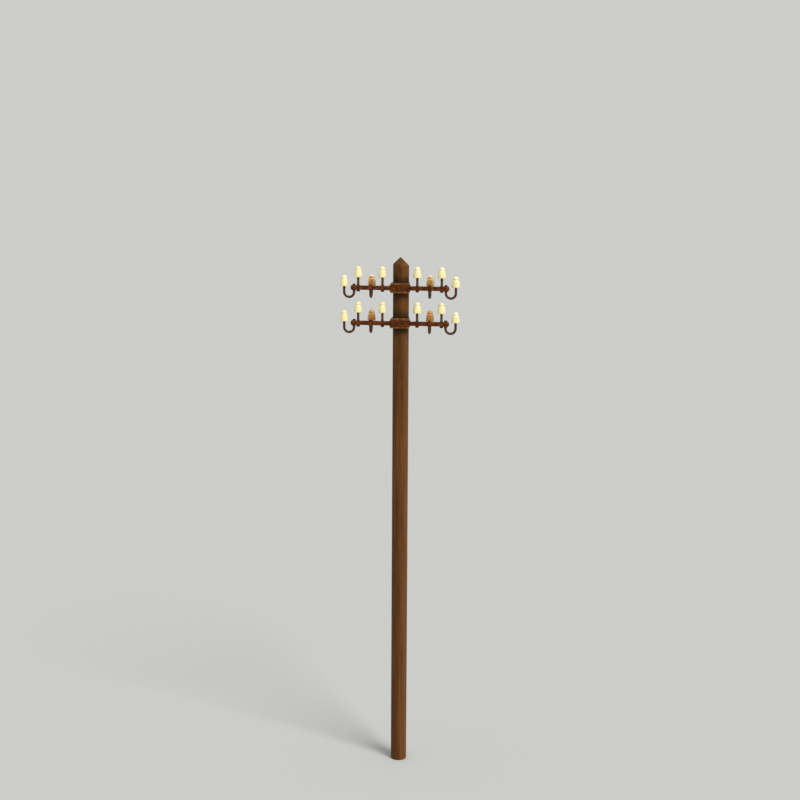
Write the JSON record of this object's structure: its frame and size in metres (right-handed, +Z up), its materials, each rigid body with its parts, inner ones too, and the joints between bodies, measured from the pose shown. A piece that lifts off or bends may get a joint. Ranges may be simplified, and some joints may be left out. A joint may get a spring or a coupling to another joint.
{
  "type": "telegraph mast",
  "caption": "Model railway telegraph mast: round wooden pole with a cut point, two crossarms clamped to its front, and bell insulators on straight pins and U-hooks.",
  "frame": {"origin": "centre of the pole's foot at ground level, where the planting spigot leaves the pole", "axes": "+Z up the pole, +X along the crossarms to the right as seen from the front, -Y the front, the side that carries the crossarms"},
  "size_m": [0.016, 0.0031, 0.078],
  "materials": {
    "pole_wood": "matte",
    "arm_paint": "satin",
    "fitting_paint": "satin",
    "spigot_brass": "satin",
    "cream_glaze": "gloss",
    "brown_glaze": "gloss"
  },
  "bodies": {
    "root": {"pole": "pole_wood", "foot_spigot": "spigot_brass", "upper_crossarm": "arm_paint", "upper_saddle": "arm_paint", "upper_strap": "fitting_paint", "upper_clamp_bolts": "fitting_paint", "upper_clamp_nuts": "fitting_paint", "upper_pin_nuts": "fitting_paint", "upper_hook_nuts": "fitting_paint", "lower_crossarm": "arm_paint", "lower_saddle": "arm_paint", "lower_strap": "fitting_paint", "lower_clamp_bolts": "fitting_paint", "lower_clamp_nuts": "fitting_paint", "lower_pin_nuts": "fitting_paint", "lower_hook_nuts": "fitting_paint", "upper_inner_left_pin": "fitting_paint", "upper_rear_left_hook": "fitting_paint", "upper_outer_left_pin": "fitting_paint", "upper_end_left_hook": "fitting_paint", "upper_inner_right_pin": "fitting_paint", "upper_rear_right_hook": "fitting_paint", "upper_outer_right_pin": "fitting_paint", "upper_end_right_hook": "fitting_paint", "lower_inner_left_pin": "fitting_paint", "lower_rear_left_hook": "fitting_paint", "lower_outer_left_pin": "fitting_paint", "lower_end_left_hook": "fitting_paint", "lower_inner_right_pin": "fitting_paint", "lower_rear_right_hook": "fitting_paint", "lower_outer_right_pin": "fitting_paint", "lower_end_right_hook": "fitting_paint", "upper_inner_left_insulator": "cream_glaze", "upper_rear_left_insulator": "brown_glaze", "upper_outer_left_insulator": "cream_glaze", "upper_end_left_insulator": "cream_glaze", "upper_inner_right_insulator": "cream_glaze", "upper_rear_right_insulator": "brown_glaze", "upper_outer_right_insulator": "cream_glaze", "upper_end_right_insulator": "cream_glaze", "lower_inner_left_insulator": "cream_glaze", "lower_rear_left_insulator": "brown_glaze", "lower_outer_left_insulator": "cream_glaze", "lower_end_left_insulator": "cream_glaze", "lower_inner_right_insulator": "cream_glaze", "lower_rear_right_insulator": "brown_glaze", "lower_outer_right_insulator": "cream_glaze", "lower_end_right_insulator": "cream_glaze"}
  },
  "joints": []
}
